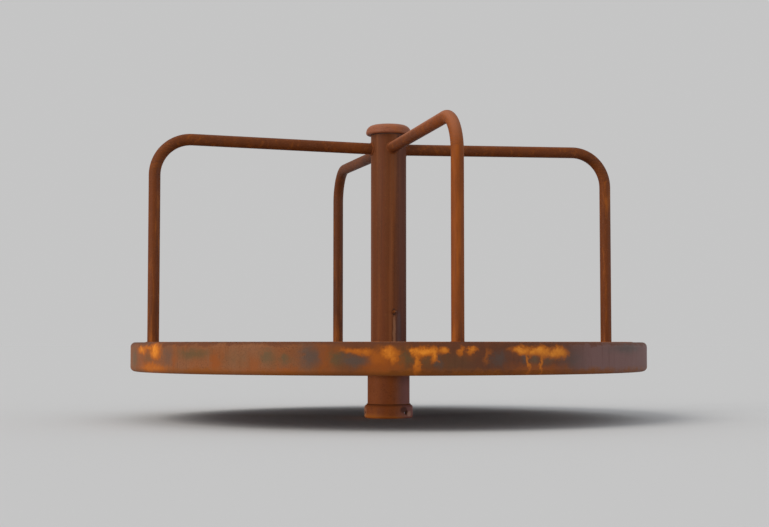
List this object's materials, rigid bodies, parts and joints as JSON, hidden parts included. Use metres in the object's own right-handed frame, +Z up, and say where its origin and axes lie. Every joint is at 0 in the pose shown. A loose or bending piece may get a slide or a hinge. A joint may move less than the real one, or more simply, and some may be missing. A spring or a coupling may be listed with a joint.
{
  "type": "playground roundabout",
  "caption": "Playground merry-go-round: steel deck that spins about a fixed spindle, with a capped centre column and bent tube handrails, weathered to rust.",
  "frame": {"origin": "centre of the base collar's underside, where it meets the ground, on the axis that the platform turns about", "axes": "+Z up along the spin axis; at rest the handrails stand at 14.5, 104.5, 194.5 and 284.5 degrees from +X towards +Y, and -Y is the front"},
  "size_m": [1.9998, 1.9998, 1.159],
  "materials": {
    "rail_steel": "matte",
    "column_steel": "matte",
    "cap_steel": "matte",
    "rim_steel": "matte",
    "deck_steel": "matte",
    "foot_steel": "matte",
    "frame_steel": "matte",
    "fastener_steel": "matte",
    "bearing_steel": "satin",
    "cage_brass": "satin",
    "seal_rubber": "matte"
  },
  "bodies": {
    "base": {"base_collar": "foot_steel", "foot_tube": "foot_steel", "foot_top_plate": "frame_steel", "foot_lower_plate": "frame_steel", "spindle": "bearing_steel", "collar_set_screws": "fastener_steel", "spindle_washer": "fastener_steel", "spindle_nut": "fastener_steel", "split_pin": "fastener_steel", "lower_bearing_inner_race": "bearing_steel", "upper_bearing_inner_race": "bearing_steel"},
    "platform": {"cap_bridge": "frame_steel", "cap_gasket": "seal_rubber", "cap_screw": "fastener_steel", "centre_column": "column_steel", "column_flange": "frame_steel", "deck_ledges": "frame_steel", "deck_plate_1": "deck_steel", "deck_plate_2": "deck_steel", "deck_plate_3": "deck_steel", "deck_plate_4": "deck_steel", "deck_screws": "fastener_steel", "deck_support_ring": "frame_steel", "frame_stiffeners": "frame_steel", "grease_nipple": "fastener_steel", "handrail_1": "rail_steel", "handrail_2": "rail_steel", "handrail_3": "rail_steel", "handrail_4": "rail_steel", "hub_bolts": "fastener_steel", "hub_drum": "frame_steel", "hub_nuts": "fastener_steel", "hub_plate": "frame_steel", "hub_washers": "fastener_steel", "lower_bearing_housing": "frame_steel", "lower_bearing_outer_race": "bearing_steel", "rail_bolts": "fastener_steel", "rail_end_plugs": "frame_steel", "rail_washers": "fastener_steel", "rim_band": "rim_steel", "shaft_seal": "seal_rubber", "spoke_1": "frame_steel", "spoke_2": "frame_steel", "spoke_3": "frame_steel", "spoke_4": "frame_steel", "spoke_5": "frame_steel", "spoke_6": "frame_steel", "spoke_7": "frame_steel", "spoke_8": "frame_steel", "top_cap": "cap_steel", "upper_bearing_housing": "frame_steel", "upper_bearing_outer_race": "bearing_steel"},
    "lower_ball_set": {"lower_bearing_balls": "bearing_steel", "lower_bearing_cage": "cage_brass"},
    "upper_ball_set": {"upper_bearing_balls": "bearing_steel", "upper_bearing_cage": "cage_brass"}
  },
  "joints": [
    {"name": "platform_spin", "type": "hinge", "parent": "base", "child": "platform", "pos_m": [0, 0, 0.3], "axis": [0, 0, 1], "continuous": true},
    {"name": "lower_balls_roll", "type": "hinge", "parent": "base", "child": "lower_ball_set", "pos_m": [0, 0, 0.231], "axis": [0, 0, 1], "continuous": true},
    {"name": "upper_balls_roll", "type": "hinge", "parent": "base", "child": "upper_ball_set", "pos_m": [0, 0, 0.63], "axis": [0, 0, 1], "continuous": true}
  ],
  "couplings": [
    {"joint": "lower_balls_roll", "follows": "platform_spin", "ratio": 0.5934},
    {"joint": "upper_balls_roll", "follows": "platform_spin", "ratio": 0.5907}
  ]
}
